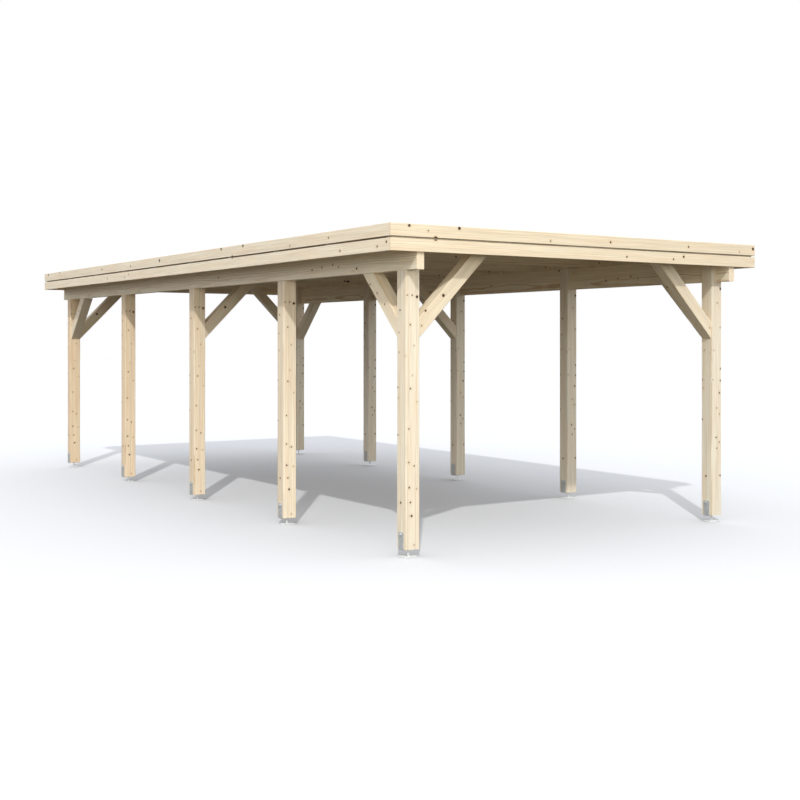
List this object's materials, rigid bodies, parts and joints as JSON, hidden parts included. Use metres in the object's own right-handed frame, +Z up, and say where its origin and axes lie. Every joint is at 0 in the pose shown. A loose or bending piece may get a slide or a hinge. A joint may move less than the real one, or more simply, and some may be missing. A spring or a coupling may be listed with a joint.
{
  "type": "carport",
  "caption": "Open flat-roofed timber carport: two rows of square posts on steel anchors, long beams, knee braces, rafters and a double board fascia.",
  "frame": {"origin": "on the ground under the middle of the roof", "axes": "+Z up, +Y from the front to the rear along the parking space, +X to the right seen from the front"},
  "size_m": [3.6, 7.62, 2.295],
  "materials": {
    "spruce_post": "planed pale spruce",
    "spruce_beam": "planed pale spruce",
    "spruce_brace": "planed pale spruce",
    "spruce_fascia": "planed pale spruce boards",
    "spruce_rafter": "planed pale spruce",
    "spruce_deck": "planed tongue and groove spruce boards",
    "galvanised_steel": "hot dip galvanised steel",
    "roofing_felt": "mineral surfaced roofing felt"
  },
  "bodies": {
    "root": {"beam_left": "spruce_beam", "fascia_left": "spruce_fascia", "post_left_1": "spruce_post", "anchor_left_1": "galvanised_steel", "post_left_2": "spruce_post", "anchor_left_2": "galvanised_steel", "post_left_3": "spruce_post", "anchor_left_3": "galvanised_steel", "post_left_4": "spruce_post", "anchor_left_4": "galvanised_steel", "post_left_5": "spruce_post", "anchor_left_5": "galvanised_steel", "cross_brace_left_front": "spruce_brace", "cross_brace_left_middle": "spruce_brace", "cross_brace_left_rear": "spruce_brace", "row_brace_left_front": "spruce_brace", "row_brace_left_rear": "spruce_brace", "beam_right": "spruce_beam", "fascia_right": "spruce_fascia", "post_right_1": "spruce_post", "anchor_right_1": "galvanised_steel", "post_right_2": "spruce_post", "anchor_right_2": "galvanised_steel", "post_right_3": "spruce_post", "anchor_right_3": "galvanised_steel", "post_right_4": "spruce_post", "anchor_right_4": "galvanised_steel", "post_right_5": "spruce_post", "anchor_right_5": "galvanised_steel", "cross_brace_right_front": "spruce_brace", "cross_brace_right_middle": "spruce_brace", "cross_brace_right_rear": "spruce_brace", "row_brace_right_front": "spruce_brace", "row_brace_right_rear": "spruce_brace", "fascia_front": "spruce_fascia", "fascia_rear": "spruce_fascia", "inner_rafters": "spruce_rafter", "end_rafters": "spruce_rafter", "fascia_cleats": "spruce_rafter", "tie_beam_front": "spruce_rafter", "tie_beam_middle": "spruce_rafter", "tie_beam_rear": "spruce_rafter", "roof_deck": "spruce_deck", "roof_felt": "roofing_felt"}
  },
  "joints": []
}
